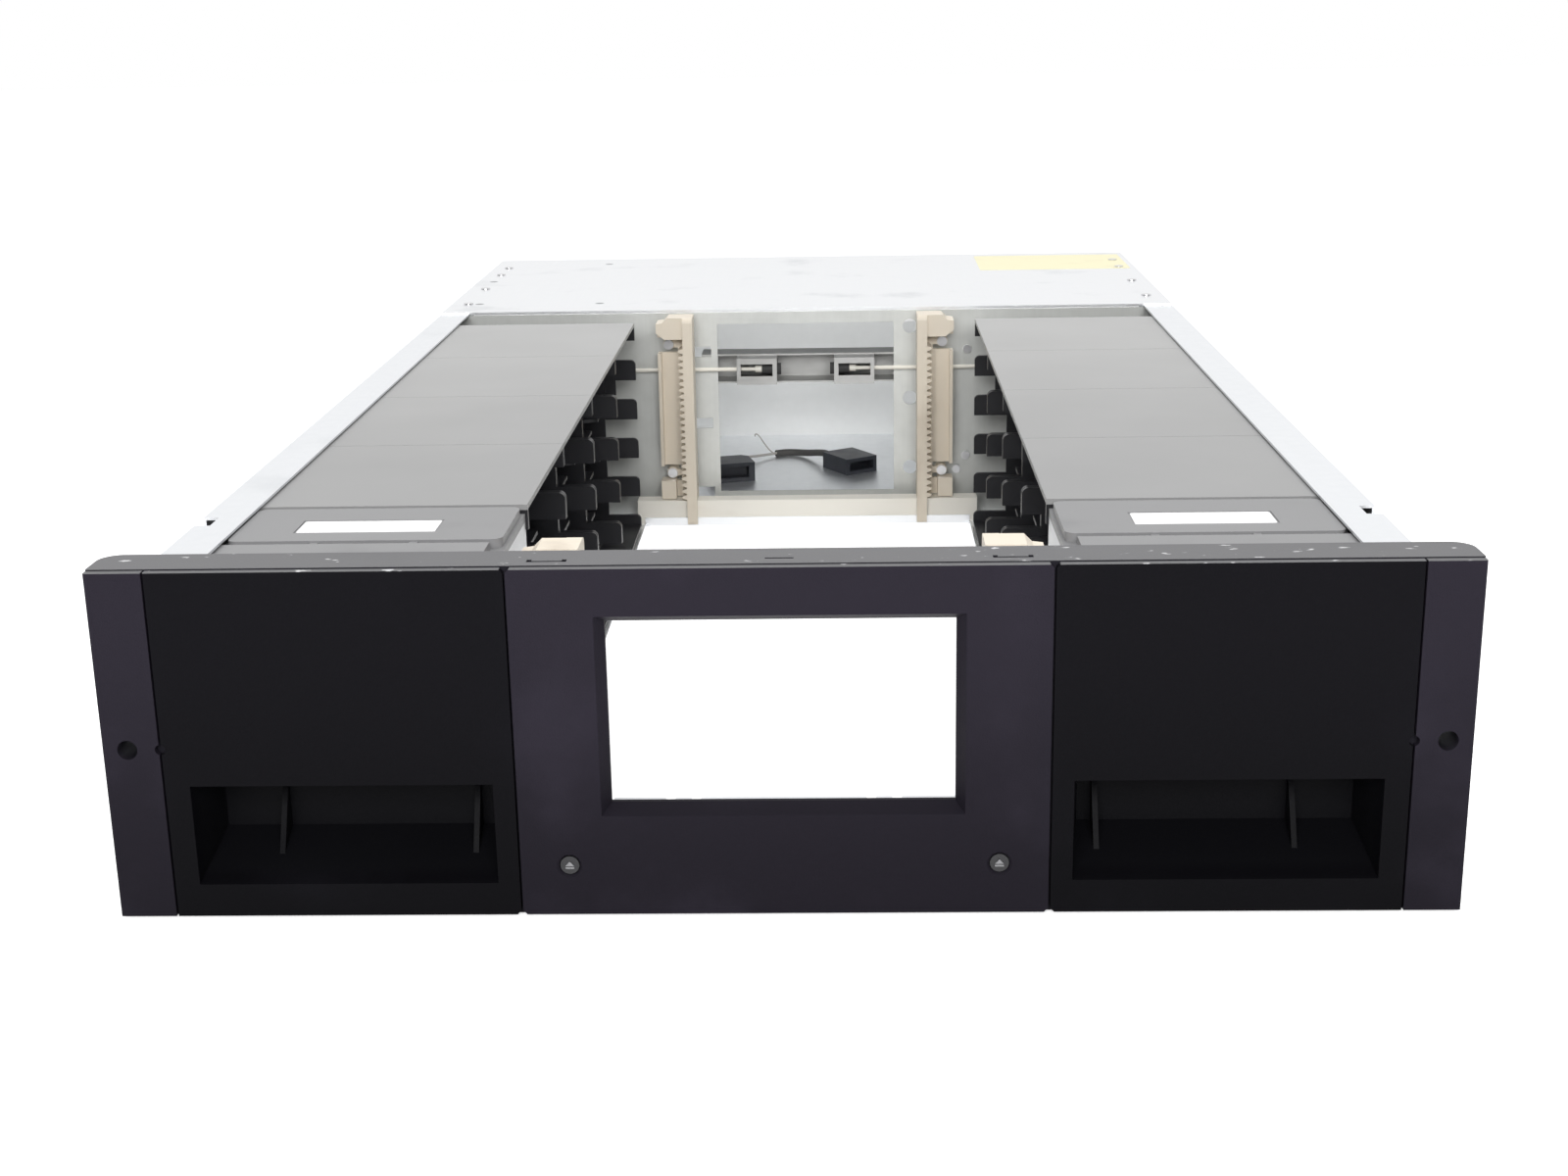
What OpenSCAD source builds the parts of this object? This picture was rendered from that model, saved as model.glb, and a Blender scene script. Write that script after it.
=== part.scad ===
// Rack-mounted data tape library chassis, open on top and underneath between its magazines.
// Two magazines of cartridge slots slide out through the front panel on both sides of a lift shaft.
// Four toothed racks stand at the corners of the shaft, and a locking bar spans the rear bulkhead.
// Millimetres. X runs to the right, Y from the front panel to the back, Z up.
// The origin is under the middle of the whole object, and heights start at its underside.

/* [Front panel] */
// Width over the two rack ears
panel_w = 482.6; // [478:0.2:490]
// Distance of each ear hole from the panel's edge
ear_edge = 8.75; // [7.5:0.05:9.5]
// Reach of each ear beyond the chassis side
ear_reach = 18.3; // [16:0.1:20]
// Radius of the ear holes
ear_hole_r = 3.6; // [3:0.1:4]
// Width of each ear cover
ear_w = 20.1; // [18:0.1:21]
// Thickness of the face plates
face_t = 3; // [2:0.1:5]
// Depth of the moulded frame behind the face plates
frame_depth = 19; // [16:0.5:30]
// Wall of the moulded frame over and beside the magazines
frame_wall = 2.6; // [1.8:0.1:3]
// Radius of the frame's rear corners
frame_corner_r = 8; // [2:0.5:10]
// Thickness of the steel mounting sheet behind the frame
ear_sheet_t = 1.5; // [1:0.1:2.5]
// Gap between neighbouring face plates
seam = 0.8; // [0.4:0.1:1.5]
// Width of the window in the centre panel
window_w = 123; // [100:1:130]
// Height of the window
window_h = 68; // [50:1:70]
// Height of the window's lower edge above the underside
window_z = 41.8; // [38:0.1:44]
// Depth of the window's bevelled border
bevel_depth = 6; // [3:0.5:9]
// Width of the bevelled border
bevel_w = 3.2; // [1:0.1:4]

/* [Eject buttons] */
// Distance of each button from the side of the frame's window
button_inset = 13.5; // [11:0.5:16]
// Height of the buttons
button_z = 19.5; // [17:0.5:24]
// Radius of a button
button_r = 3.4; // [2.5:0.1:4]
// Gap round a button
button_gap = 0.35; // [0.2:0.05:0.6]
// Press of a button
button_travel = 1.6; // [0.5:0.1:2]

/* [Magazines] */
// Clear width between the two magazines
shaft_w = 203; // [196:1:210]
// Number of slot columns in a magazine
columns = 4; // [1:1:4]
// Distance between columns
column_pitch = 111; // [109.5:0.5:116]
// Number of slots in a column
tiers = 5; // [2:1:6]
// Distance between slots in a column
tier_pitch = 23.9; // [23.5:0.1:26]
// Thickness of a shelf
shelf_t = 1.9; // [1.2:0.1:2.2]
// Thickness of the wall at each end of a column
divider_t = 2.4; // [1.6:0.1:2.6]
// Thickness of a column's outer wall
outer_wall_t = 2; // [1.2:0.1:2.6]
// Length of the retaining fingers in front of the walls
finger_l = 19.5; // [12:0.5:24]
// Reach of a finger above its shelf
finger_up = 4.2; // [3:0.1:6]
// Reach of a finger below its shelf's top
finger_down = 8; // [5:0.1:9]
// Gap between neighbouring columns
column_gap = 0.4; // [0.2:0.1:0.8]
// Thickness of the tray under the columns
tray_t = 1.7; // [1.2:0.1:2.5]
// Thickness of the roof panels
roof_t = 2.2; // [1.5:0.1:3]
// Distance from the front face to the first column
nose_l = 103; // [95:1:115]
// Depth of the pull pocket
pocket_depth = 27; // [20:1:29]
// Rim of the face plate beside the pull pocket
pocket_rim = 8.3; // [7:0.1:16]
// Height of the pull pocket's mouth
pocket_h = 38; // [30:0.5:44]

/* [Chassis] */
// Thickness of the chassis sheet
sheet_t = 1; // [0.8:0.1:1.2]
// Width of the side walls' top flanges
flange_w = 17; // [14:0.5:19]
// Room between a magazine and the side wall
side_gap = 13; // [11:0.5:16]
// Height of the glides that the magazines slide on
glide_h = 1; // [0.6:0.1:1.6]
// Running gap under and beside a magazine
slide_gap = 0.3; // [0.3:0.05:0.8]
// Room above a magazine
top_gap = 0.6; // [0.4:0.1:1.2]
// Room between the magazines' rear ends and the bulkhead
rear_gap = 32; // [31:0.5:40]
// Depth of the rear bay
bay_depth = 233; // [200:1:260]
// Overhang of the cover and side walls behind the rear panel
rear_lip = 10; // [6:0.5:20]
// Width of the opening in the bulkhead
gate_w = 108; // [104:1:116]
// Height of the opening's lower edge
gate_z = 16; // [15:0.5:20]

/* [Lift racks] */
// Distance of the rear racks' inner faces from the magazines
rack_rear_inset = 34; // [30:0.5:37]
// Distance of the front racks' inner faces from the magazines
rack_front_inset = 28.5; // [26:0.5:31]
// Module of the rack teeth
rack_module = 1.25; // [1:0.05:1.5]
// Thickness of the toothed rib
rib_t = 6; // [4:0.5:8]
// Width of the web beside the toothed rib
web_w = 16; // [12:0.5:18]
// Reach of a rack in front of what it is screwed to
rack_reach = 27; // [25:0.5:30]
// Height of the rail that ties the rear racks together
tie_h = 10.5; // [8:0.5:12]

/* [Magazine lock] */
// Height of the release rods
rod_z = 94; // [90:0.5:98]
// Radius of the release rods
rod_r = 1.2; // [0.8:0.1:1.6]
// Travel of the release rods
rod_travel = 8; // [4:0.5:9]
// Height of the lock bar
bar_h = 18; // [16:0.5:20]
// Width of a solenoid bracket
bracket_w = 24.5; // [22:0.5:26]

/* [Loose lead] */
// Diameter of the sleeved lead in the rear bay
lead_d = 4.6; // [2:0.1:4.6]

/* [Hidden] */
$fn = 48;

left = -1;
right = 1;
eps = 0.01;

// Heights, from the underside up
tray_z = sheet_t + glide_h + slide_gap;
column_z = tray_z + tray_t;
slot_z = column_z + shelf_t;
slot_h = tier_pitch - shelf_t;
column_h = tiers * tier_pitch + shelf_t;
roof_z = column_z + column_h;
mag_top = roof_z + roof_t;
wall_h = mag_top + top_gap + sheet_t;
cover_z = wall_h;
panel_h = mag_top + top_gap + 0.2 + frame_wall;
ear_hole_z = panel_h / 2 - 0.5;

// Widths, from the panel's edges in
ear_hole_x = panel_w / 2 - ear_edge;
chassis_w = panel_w - 2 * ear_reach;
wall_in = chassis_w / 2 - sheet_t;
mag_out = wall_in - side_gap;
shaft_x = shaft_w / 2;
rack_rear_x = shaft_x - rack_rear_inset;
rack_front_x = shaft_x - rack_front_inset;
finger_root = shaft_x + finger_l;
cover_in = panel_w / 2 - ear_w;
face_lap = 6.2;
face_in = shaft_x - face_lap;
face_out = cover_in - seam;

// Depths, from the front face back
sheet_y = face_t + frame_depth;
chassis_y = sheet_y + ear_sheet_t;
mag_end = nose_l + columns * column_pitch;
bulkhead_y = mag_end + rear_gap;
gate_back = bulkhead_y + sheet_t;
tie_y = bulkhead_y - 22;
rear_y = bulkhead_y + bay_depth;
depth = rear_y + sheet_t + rear_lip;
nose_y = face_t + pocket_depth + 3;

// Moves a shape drawn with the front face at Y = 0 to the object's own frame
module placed() {
    translate([0, -depth / 2, 0]) children();
}

// Shapes are drawn for the left side and mirrored for the right
module sided(side) {
    mirror([side == right ? 1 : 0, 0, 0]) children();
}

// A box given by its lowest and highest corners
module block(low, high) {
    translate(low) cube(high - low);
}

// A round bar along Y, from y to y + l
module bar_y(x, y, z, r, l) {
    translate([x, y, z]) rotate([-90, 0, 0]) cylinder(r = r, h = l);
}

// A round bar along X, from x to x + l
module bar_x(x, y, z, r, l) {
    translate([x, y, z]) rotate([0, 90, 0]) cylinder(r = r, h = l);
}

// A flat rectangle with round corners, drawn from one corner
module rounded(w, h, r) {
    union() {
        translate([r, 0]) square([w - 2 * r, h]);
        translate([0, r]) square([w, h - 2 * r]);
        for (x = [r, w - r], y = [r, h - r]) translate([x, y]) circle(r = r);
    }
}

// ---------------------------------------------------------------- chassis

pan_lip_h = 4;
pan_side_h = 14;
shaft_front = chassis_y + 10;
shaft_back = tie_y - 1;
shaft_edge = shaft_x - 1.5;
vent_rows = 6;
vent_pitch = 26;
vent_l = 40;
vent_w = 6;

module base_pan() placed() color("gainsboro") {
    difference() {
        block([-wall_in, chassis_y, 0], [wall_in, rear_y, sheet_t]);
        translate([-shaft_edge, shaft_front, -1])
            linear_extrude(sheet_t + 2) rounded(2 * shaft_edge, shaft_back - shaft_front, 4);
        for (i = [0 : vent_rows - 1], x = [-1, 1]) {
            translate([x * (wall_in - 42) - vent_l / 2, rear_y - 43 - i * vent_pitch, -1])
                linear_extrude(sheet_t + 2) rounded(vent_l, vent_w, vent_w / 2 - eps);
        }
    }
    block([-shaft_edge, shaft_back, 0], [shaft_edge, shaft_back + sheet_t, sheet_t + pan_lip_h]);
    for (x = [-wall_in, wall_in - sheet_t]) {
        block([x, chassis_y, sheet_t - eps], [x + sheet_t, rear_y, pan_side_h]);
    }
}

side_hole_z = 100;
side_hole_pitch = 200;
notch_y = 69;
notch_l = 12;
notch_d = 6;

module side_wall(side) placed() sided(side) color("lightgray") {
    difference() {
        union() {
            block([-wall_in - sheet_t, chassis_y, 0], [-wall_in, depth, wall_h]);
            block([-wall_in - eps, chassis_y, wall_h - sheet_t],
                [-wall_in - sheet_t + flange_w, depth, wall_h]);
        }
        block([-wall_in - 2, notch_y, wall_h - 8],
            [-wall_in - sheet_t + notch_d, notch_y + notch_l, wall_h + 1]);
        for (i = [0 : 3]) {
            bar_x(-wall_in - 2, chassis_y + 60 + i * side_hole_pitch, side_hole_z, 2.2, 4);
        }
    }
}
module side_wall_left() side_wall(left);
module side_wall_right() side_wall(right);

cover_lip_h = 8;
cover_screw_x = chassis_w / 2 - 11;
cover_screw_ys = [34, 100, 166, bay_depth - 32];
screw_r = 1.5;
screw_head_r = 3;

module rear_cover() placed() color("whitesmoke") {
    difference() {
        block([-wall_in - sheet_t, bulkhead_y, cover_z], [wall_in + sheet_t, depth, cover_z + sheet_t]);
        for (x = [-1, 1], y = cover_screw_ys) {
            translate([x * cover_screw_x, bulkhead_y + y, cover_z - 1]) cylinder(r = screw_r + 0.2, h = 3);
        }
    }
    block([-wall_in + flange_w + 2, bulkhead_y + sheet_t, cover_z - cover_lip_h],
        [wall_in - flange_w - 2, bulkhead_y + 2 * sheet_t, cover_z + eps]);
}

module cover_screws() placed() color("silver") {
    for (x = [-1, 1], y = cover_screw_ys) {
        translate([x * cover_screw_x, bulkhead_y + y, cover_z + sheet_t]) cylinder(r = screw_head_r, h = 0.8);
        translate([x * cover_screw_x, bulkhead_y + y, cover_z + eps]) cylinder(r = screw_r, h = sheet_t);
    }
}

drive_w = 152;
drive_h = 40;
drive_x = -wall_in + 14;
supply_w = 108;
supply_h = 60;
supply_x = wall_in - 14 - supply_w;
blank_lap = 5;
rear_z = 3.2;

module rear_panel() placed() color("lightgray") {
    difference() {
        block([-wall_in + sheet_t, rear_y, sheet_t], [wall_in - sheet_t, rear_y + sheet_t, wall_h - sheet_t]);
        for (i = [0 : 2]) {
            block([drive_x + blank_lap, rear_y - 1, rear_z + i * drive_h + blank_lap],
                [drive_x + drive_w - blank_lap, rear_y + 2, rear_z + (i + 1) * drive_h - blank_lap]);
        }
        for (i = [0 : 1]) {
            block([supply_x + blank_lap, rear_y - 1, rear_z + i * supply_h + blank_lap],
                [supply_x + supply_w - blank_lap, rear_y + 2, rear_z + (i + 1) * supply_h - blank_lap]);
        }
    }
}

// A blank plate over one opening of the rear panel, with a folded grip along its foot
module blank_plate(x, z, w, h) placed() color("silver") {
    difference() {
        block([x + 0.5, rear_y + sheet_t, z + 0.5], [x + w - 0.5, rear_y + 2 * sheet_t, z + h - 0.5]);
        for (u = [blank_lap / 2, w - blank_lap / 2]) {
            bar_y(x + u, rear_y, z + h / 2, screw_r, 4);
        }
    }
    block([x + w / 2 - 15, rear_y + 2 * sheet_t - eps, z + 4],
        [x + w / 2 + 15, rear_y + 2 * sheet_t + 6, z + 4 + sheet_t]);
}
module drive_blank(i) blank_plate(drive_x, rear_z + i * drive_h, drive_w, drive_h);
module supply_blank(i) blank_plate(supply_x, rear_z + i * supply_h, supply_w, supply_h);
module drive_blank_lower() drive_blank(0);
module drive_blank_middle() drive_blank(1);
module drive_blank_upper() drive_blank(2);
module supply_blank_lower() supply_blank(0);
module supply_blank_upper() supply_blank(1);

module blank_screw(x, z) {
    bar_y(x, rear_y + 2 * sheet_t, z, screw_head_r - 0.6, 2.5);
    bar_y(x, rear_y + sheet_t + eps, z, screw_r, sheet_t);
}
module blank_screws() placed() color("dimgray") {
    for (i = [0 : 2], u = [blank_lap / 2, drive_w - blank_lap / 2]) {
        blank_screw(drive_x + u, rear_z + (i + 0.5) * drive_h);
    }
    for (i = [0 : 1], u = [blank_lap / 2, supply_w - blank_lap / 2]) {
        blank_screw(supply_x + u, rear_z + (i + 0.5) * supply_h);
    }
}

// Holes punched beside the bulkhead's opening: rectangles on the left, rounds on the right
gate_top = wall_h - cover_lip_h;
punch_x = gate_w / 2 + 10;
punch_zs = [15.8, 59.5, 104];
post_screws = [[shaft_x - 2.5, 104], [shaft_x - 3.2, 37.5], [shaft_x - 8.9, 29]];

module bulkhead() placed() color("darkseagreen") {
    difference() {
        block([-wall_in + sheet_t, bulkhead_y, sheet_t], [wall_in - sheet_t, gate_back, wall_h - sheet_t]);
        block([-gate_w / 2, bulkhead_y - 1, gate_z], [gate_w / 2, gate_back + 1, gate_top]);
        for (z = punch_zs) {
            block([-punch_x - 6, bulkhead_y - 1, z - 3.2], [-punch_x + 6, gate_back + 1, z + 3.2]);
            bar_y(punch_x, bulkhead_y - 1, z + 14.5, 4.4, 3);
        }
        for (p = post_screws) bar_y(p[0], bulkhead_y - 1, p[1], screw_r, 3);
        for (x = [-1, 1], z = rack_screw_zs) {
            bar_y(x * (rack_rear_x + rack_screw_x), bulkhead_y - 1, z, screw_r, 3);
        }
    }
    block([-wall_in + sheet_t, gate_back - eps, sheet_t], [wall_in - sheet_t, gate_back + 12, 2 * sheet_t]);
}

module bulkhead_screws() placed() color("silver") {
    for (p = post_screws) {
        bar_y(p[0], bulkhead_y - 1.6, p[1], 2.6, 1.6);
        bar_y(p[0], bulkhead_y - eps, p[1], screw_r, 3);
    }
}

// ---------------------------------------------------------------- front panel

mount_in = shaft_x - 4;
mount_out = mag_out + 6;
port_w = window_w + 4;
port_z = 32;
port_flange = 8;
port_top = window_z + window_h + 3;
notch_xs = [-42.5, -33, 31.8, 41.3];

module ear_holes() {
    for (x = [-1, 1]) bar_y(x * ear_hole_x, -1, ear_hole_z, ear_hole_r, chassis_y + 2);
}

module mounting_sheet() placed() color("lightgray") {
    difference() {
        block([-panel_w / 2, sheet_y, sheet_t], [panel_w / 2, chassis_y, wall_h - sheet_t]);
        for (x = [-1, 1]) sided(x) {
            block([-mount_out, sheet_y - 1, -1], [-mount_in, chassis_y + 1, wall_h + 1]);
        }
        block([-port_w / 2, sheet_y - 1, port_z + sheet_t], [port_w / 2, chassis_y + 1, port_top + 5]);
        ear_holes();
    }
    for (x = [-1, 1]) sided(x) {
        block([-mount_out - eps, sheet_y, sheet_t], [-mount_in + eps, chassis_y, tray_z - slide_gap]);
    }
    difference() {
        block([-port_w / 2, sheet_y, port_z], [port_w / 2, chassis_y + port_flange, port_z + sheet_t]);
        for (x = notch_xs) {
            block([x - 1.7, chassis_y + 2, port_z - 1], [x + 1.7, chassis_y + port_flange + 1, port_z + 3]);
        }
    }
}

button_x = port_w / 2 + button_inset;
tab_x = button_x + 4;
tab_slot_w = 1.7;
frame_in = face_in + 0.6;
frame_out = face_out - 0.8;
strip_z = panel_h - frame_wall;
tab_slot_y = face_t + 4;
corner_x = panel_w / 2 - frame_corner_r;

module front_frame() placed() color("dimgray") {
    difference() {
        union() {
            block([-panel_w / 2, face_t, 0], [panel_w / 2, sheet_y - frame_corner_r, panel_h]);
            block([-corner_x, face_t, 0], [corner_x, sheet_y, panel_h]);
            for (x = [-1, 1]) {
                translate([x * corner_x, sheet_y - frame_corner_r, 0])
                    cylinder(r = frame_corner_r, h = panel_h);
            }
        }
        for (x = [-1, 1]) sided(x) {
            // the way for the magazine
            block([-frame_out, face_t - 1, tray_z - 0.6], [-frame_in, sheet_y + 1, strip_z]);
            // hollow ear and hollow post
            block([-panel_w / 2 + frame_wall, face_t + 3, frame_wall],
                [-frame_out - frame_wall, sheet_y + 1, strip_z]);
            block([-frame_in + frame_wall, face_t + 3, frame_wall],
                [-port_w / 2 - frame_wall, sheet_y + 1, strip_z]);
            bar_y(-button_x, face_t - 1, button_z, button_r + 2.4, 6);
            // bracket-shaped tab slots in the top
            block([-tab_x - 7, tab_slot_y, strip_z - 1], [-tab_x + 7, tab_slot_y + tab_slot_w, panel_h + 1]);
            for (u = [-7, 7 - tab_slot_w]) {
                block([-tab_x + u, tab_slot_y, strip_z - 1],
                    [-tab_x + u + tab_slot_w, tab_slot_y + 3.4, panel_h + 1]);
            }
        }
        block([-5, tab_slot_y + 1.5, strip_z - 1], [5, tab_slot_y + 1.5 + tab_slot_w, panel_h + 1]);
        block([-port_w / 2, face_t - 1, port_z], [port_w / 2, sheet_y + 1, port_top]);
        ear_holes();
    }
    // sleeve of each ear hole
    for (x = [-1, 1]) difference() {
        bar_y(x * ear_hole_x, face_t + 3 - eps, ear_hole_z, ear_hole_r + 1.4, frame_depth - 3 + eps);
        bar_y(x * ear_hole_x, face_t, ear_hole_z, ear_hole_r, frame_depth + 1);
    }
    for (x = [-1, 1], u = [-5, 5]) {
        bar_y(x * button_x + u, face_t + 3 - eps, button_z + 9, 1.4, board_y - face_t - 3);
    }
}

board_y = 13;
board_t = 1.6;
switch_y = board_y - 1.6;

module switch_boards() placed() color("darkgreen") {
    for (x = [-1, 1]) {
        translate([x * button_x, 0, button_z]) {
            block([-8, board_y, -7], [8, board_y + board_t, 12]);
            block([-3, switch_y, -3], [3, board_y + eps, 3]);
        }
    }
}

face_z = 0.6;
face_h = panel_h - 2 * face_z;
seam_hole_r = 1.9;
button_hole_r = button_r + button_gap;
well_chamfer = 0.8;
button_face_y = 0.7;

// Notch across a corner of a face plate
module corner_notch(x, z) {
    translate([x, -1, z]) rotate([0, 45, 0]) translate([-1, 0, -1]) cube([2, 6, 2]);
}

// Bevelled border that narrows from the front face to the window
module bevel_cut() {
    hull() {
        block([-window_w / 2 - bevel_w, -eps, window_z - bevel_w],
            [window_w / 2 + bevel_w, 0, window_z + window_h + bevel_w]);
        block([-window_w / 2, bevel_depth, window_z],
            [window_w / 2, bevel_depth + eps, window_z + window_h]);
    }
}

module centre_panel() placed() color("dimgray") {
    difference() {
        union() {
            block([-face_in + seam, 0, face_z], [face_in - seam, face_t, face_z + face_h]);
            block([-port_w / 2 + 0.3, 0, port_z + 1.5],
                [port_w / 2 - 0.3, bevel_depth + 2, window_z + window_h + 2.6]);
        }
        bevel_cut();
        block([-window_w / 2, 1, window_z], [window_w / 2, bevel_depth + 3, window_z + window_h]);
        for (x = [-1, 1]) {
            bar_y(x * button_x, -1, button_z, button_hole_r, face_t + 2);
            translate([x * button_x, -eps, button_z]) rotate([-90, 0, 0])
                cylinder(r1 = button_hole_r + well_chamfer, r2 = button_hole_r, h = well_chamfer);
            for (z = [face_z, face_z + face_h]) corner_notch(x * (face_in - seam), z);
        }
    }
}

module ear_cover(side) placed() sided(side) color("dimgray") {
    difference() {
        block([-panel_w / 2, 0, face_z], [-cover_in, face_t, face_z + face_h]);
        bar_y(-ear_hole_x, -1, ear_hole_z, ear_hole_r, face_t + 2);
        bar_y(-cover_in + seam / 2, -1, ear_hole_z, seam_hole_r, face_t + 2);
    }
}
module ear_cover_left() ear_cover(left);
module ear_cover_right() ear_cover(right);

module eject_button(side) placed() sided(side) color("black") {
    bar_y(-button_x, button_face_y, button_z, button_r, face_t + slide_gap + 0.1 - button_face_y);
    bar_y(-button_x, face_t + slide_gap, button_z, button_r + 1.2, 1.2);
    // raised triangle over a bar
    translate([-button_x, button_face_y + eps, button_z]) rotate([90, 0, 0]) linear_extrude(0.3) {
        polygon([[-1.6, -0.3], [1.6, -0.3], [0, 1.5]]);
        translate([-1.6, -1.3]) square([3.2, 0.6]);
    }
    bar_y(-button_x, face_t + 1.4, button_z, 2, switch_y - button_travel - slide_gap - face_t - 1.4);
}
module eject_button_left() eject_button(left);
module eject_button_right() eject_button(right);

// ---------------------------------------------------------------- lift racks
// A rack is drawn with X outward from its inner face, Y forward from its mounting face

rack_z = 1.2;
rack_top = cover_z - 0.4;
web_y = 8;
web_t = 3;
tie_room = bulkhead_y - shaft_back + slide_gap;
tie_top = sheet_t + pan_lip_h + tie_h;
rack_screw_x = rib_t + 9.5;
rack_screw_zs = [31, 111];
tooth_pitch = PI * rack_module;
teeth_z = tie_top + 1;
tooth_count = floor((rack_top - 16 - teeth_z) / tooth_pitch);
tooth_h = 2.25 * rack_module;
tooth_root = 0.25 * tooth_pitch + 1.25 * rack_module * tan(20);
tooth_tip = 0.25 * tooth_pitch - rack_module * tan(20);

// Outline of the row of teeth, in X and Z
function tooth_points() = [for (i = [0 : tooth_count - 1], p = [
    [0, -tooth_root], [tooth_h, -tooth_tip], [tooth_h, tooth_tip], [0, tooth_root]])
        [rib_t + p[0], teeth_z + (i + 0.5) * tooth_pitch + p[1]]];

module rack_shape() {
    // toothed rib, whose foot passes in front of the tie rail
    rotate([90, 0, 90]) linear_extrude(rib_t) difference() {
        union() {
            translate([web_y, tie_top + 0.5]) square([rack_reach - 3 - web_y, rack_top - tie_top - 0.5]);
            translate([tie_room, rack_z + 2]) square([rack_reach - tie_room, rack_top - rack_z - 5]);
            translate([rack_reach - 3, rack_top - 3]) circle(r = 3);
            translate([tie_room, rack_z]) square([rack_reach - tie_room - 2, 3]);
            translate([rack_reach - 2, rack_z + 2]) circle(r = 2);
        }
    }
    // teeth
    translate([0, rack_reach - 1, 0]) rotate([90, 0, 0]) linear_extrude(rack_reach - 1 - web_y)
        polygon(concat([[rib_t - 1, teeth_z]], tooth_points(),
            [[rib_t - 1, teeth_z + tooth_count * tooth_pitch]]));
    // web with its two screw windows and bosses
    difference() {
        union() {
            block([rib_t - eps, web_y, tie_top + 0.5], [rib_t + web_w, web_y + web_t, rack_top - 6]);
            block([rib_t + web_w - 2, web_y, tie_top + 0.5],
                [rib_t + web_w, web_y + web_t + 5, rack_top - 6]);
        }
        for (z = rack_screw_zs) {
            block([rib_t + 4, web_y - 1, z - 5], [rib_t + web_w + 1, web_y + web_t + 9, z + 5]);
        }
    }
    for (z = rack_screw_zs) difference() {
        union() {
            translate([rack_screw_x, 0, z]) rotate([-90, 0, 0]) cylinder(r = 3.4, h = web_y + web_t);
            block([rib_t - eps, web_y, z - 2], [rack_screw_x, web_y + web_t, z + 2]);
        }
        translate([rack_screw_x, -1, z]) rotate([-90, 0, 0]) cylinder(r = screw_r, h = web_y + web_t + 2);
    }
    // foot block and cap
    block([rib_t + 7, web_y, tie_top + 0.5], [rib_t + web_w, web_y + 11, tie_top + 12]);
    rotate([90, 0, 0]) translate([0, 0, -rack_reach + 3]) linear_extrude(rack_reach - 3 - web_y)
        polygon([[rib_t - 1, rack_top - 13], [rib_t + web_w - 5, rack_top - 13],
            [rib_t + web_w, rack_top - 9], [rib_t + web_w, rack_top - 3.5],
            [rib_t + web_w - 4, rack_top - 3], [rib_t + web_w - 7, rack_top], [rib_t - 1, rack_top]]);
}

module rack_rear(side) placed() sided(side) color("wheat") {
    translate([-rack_rear_x, bulkhead_y, 0]) rotate([0, 0, 180]) rack_shape();
}
module rack_front(side) placed() sided(side) color("wheat") {
    translate([-rack_front_x, chassis_y, 0]) mirror([1, 0, 0]) rack_shape();
}
module rack_rear_left() rack_rear(left);
module rack_rear_right() rack_rear(right);
module rack_front_left() rack_front(left);
module rack_front_right() rack_front(right);

module rack_screws() placed() color("silver") {
    boss_l = web_y + web_t;
    for (x = [-1, 1], z = rack_screw_zs) {
        bar_y(x * (rack_rear_x + rack_screw_x), bulkhead_y - boss_l - 2.4, z, screw_head_r, 2.4);
        bar_y(x * (rack_rear_x + rack_screw_x), bulkhead_y - boss_l - eps, z, screw_r - eps, boss_l + 2);
        bar_y(x * (rack_front_x + rack_screw_x), chassis_y + boss_l, z, screw_head_r, 2.4);
        bar_y(x * (rack_front_x + rack_screw_x), chassis_y + eps, z, screw_r - eps, boss_l);
    }
}

tie_x = shaft_x + 3;
tie_t = 12;

module tie_rail() placed() color("antiquewhite") {
    difference() {
        block([-tie_x, tie_y, sheet_t], [tie_x, tie_y + tie_t, tie_top]);
        block([-tie_x + 3, tie_y + 2.5, sheet_t - 1], [tie_x - 3, tie_y + tie_t - 2.5, tie_top - 2.5]);
    }
}

// ---------------------------------------------------------------- magazine lock

bar_x_end = gate_w / 2 + 10;
bar_z = rod_z - 9.8;
bar_depth = 19;
bracket_x = 17.5;
bracket_front = bulkhead_y - 10;
rod_y = bulkhead_y - 5;
lug_x = finger_root - 3;
rod_hold = 4;
rod_rest = lug_x + rod_hold - rod_travel;

module lock_bar() placed() color("silver") {
    y = gate_back;
    difference() {
        block([-bar_x_end, y, bar_z], [bar_x_end, y + bar_depth, bar_z + bar_h]);
        block([-bar_x_end - 1, y - 1, bar_z + sheet_t],
            [bar_x_end + 1, y + bar_depth - sheet_t, bar_z + bar_h - sheet_t]);
    }
    for (x = [-1, 1]) sided(x) {
        block([-bar_x_end, y, bar_z], [-gate_w / 2 - 1, y + sheet_t, bar_z + bar_h]);
    }
}

module bracket(side) placed() sided(side) color("gainsboro") {
    z = bar_z + sheet_t;
    back = gate_back + bar_depth - sheet_t;
    difference() {
        block([-bracket_x - bracket_w, bracket_front, z], [-bracket_x, back, z + bar_h - 2 * sheet_t]);
        block([-bracket_x - bracket_w + sheet_t, bracket_front + sheet_t, z + sheet_t],
            [-bracket_x - sheet_t, back + 1, z + bar_h - 3 * sheet_t]);
        block([-bracket_x - bracket_w + 2.4, bracket_front - 1, rod_z - 3.7],
            [-bracket_x - 2.6, bracket_front + 3, rod_z + 3.7]);
        bar_x(-bracket_x - bracket_w - 1, rod_y, rod_z, rod_r + 0.5, 4);
    }
}
module bracket_left() bracket(left);
module bracket_right() bracket(right);

coil_l = 8;
coil_r = 3.6;
stop_l = 2.5;

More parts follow.
